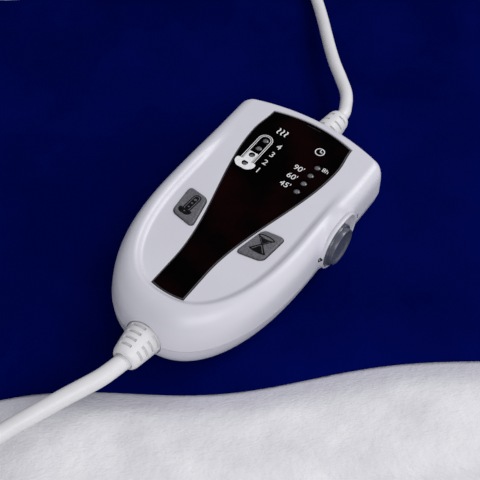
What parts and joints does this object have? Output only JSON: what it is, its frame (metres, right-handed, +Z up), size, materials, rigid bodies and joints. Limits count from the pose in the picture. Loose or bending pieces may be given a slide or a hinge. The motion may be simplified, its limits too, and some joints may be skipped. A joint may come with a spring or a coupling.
{
  "type": "heating pad with controller",
  "caption": "Electric heating pad with a fleece base and navy cover, and a white hand controller with a dark display window, press buttons and a slide power switch, on a coiled mains lead",
  "frame": {"origin": "middle of the fleece base's underside, on the floor", "axes": "+X along the pad's long side to the right, +Y from the front edge to the rear edge, +Z up"},
  "size_m": [0.4011, 0.4761, 0.0382],
  "materials": {
    "housing": "satin gloss, cool white",
    "window": "glossy black",
    "button": "satin grey",
    "slider": "satin grey",
    "cord": "soft white vinyl",
    "lamp": "clear grey lens",
    "board": "green laminate",
    "dark_plastic": "matte black",
    "pale_plastic": "matte cream",
    "red_plastic": "matte red",
    "steel": "plated",
    "fleece": "brushed white fleece",
    "cover": "brushed navy plush",
    "felt": "needled felt"
  },
  "bodies": {
    "pad_and_controller": {"top_shell": "housing", "bottom_shell": "housing", "display_window": "window", "switch_body": "steel", "circuit_board": "board", "mains_terminal": "pale_plastic", "pad_terminal": "pale_plastic", "fuse": "steel", "film_capacitor": "red_plastic", "triac": "dark_plastic", "control_chip": "dark_plastic", "heat_led_1": "lamp", "heat_led_2": "lamp", "heat_led_3": "lamp", "heat_led_4": "lamp", "time_led_1": "lamp", "time_led_2": "lamp", "time_led_3": "lamp", "time_led_4": "lamp", "heat_led_holder": "dark_plastic", "time_led_holder": "dark_plastic", "heat_key_switch": "dark_plastic", "time_key_switch": "dark_plastic", "tail_relief": "cord", "head_relief": "cord", "mains_lead_end": "cord", "pad_lead_end": "cord", "mains_cord_grip": "dark_plastic", "pad_cord_grip": "dark_plastic", "case_screw_1": "steel", "case_screw_2": "steel", "case_screw_3": "steel", "case_screw_4": "steel", "fleece_base": "fleece", "pad_cover": "cover", "heating_carrier": "felt", "heating_wire": "red_plastic", "link_wire": "red_plastic", "thermal_cutout": "steel", "wire_splice": "pale_plastic", "pad_gland": "cord", "mains_coil": "cord", "mains_cord": "cord", "mains_cord_end": "cord", "plug_body": "cord", "plug_pin_1": "steel", "plug_pin_2": "steel", "cord_tie": "dark_plastic", "pad_cord": "cord"},
    "heat_button": {"heat_button": "button", "heat_key_plunger": "pale_plastic"},
    "time_button": {"time_button": "button", "time_key_plunger": "pale_plastic"},
    "power_slider": {"power_slider": "slider", "slider_plate": "dark_plastic", "switch_lever": "pale_plastic"}
  },
  "joints": [
    {"name": "heat_press", "type": "slide", "parent": "pad_and_controller", "child": "heat_button", "axis": [0, 0, -1], "range_m": [0, 0.001], "stiffness_N_per_m": 600, "springref_m": -0.0005},
    {"name": "time_press", "type": "slide", "parent": "pad_and_controller", "child": "time_button", "axis": [0, 0, -1], "range_m": [0, 0.001], "stiffness_N_per_m": 600, "springref_m": -0.0005},
    {"name": "power_slide", "type": "slide", "parent": "pad_and_controller", "child": "power_slider", "axis": [0.6807, 0.7325, 0], "range_m": [0, 0.0042]}
  ]
}
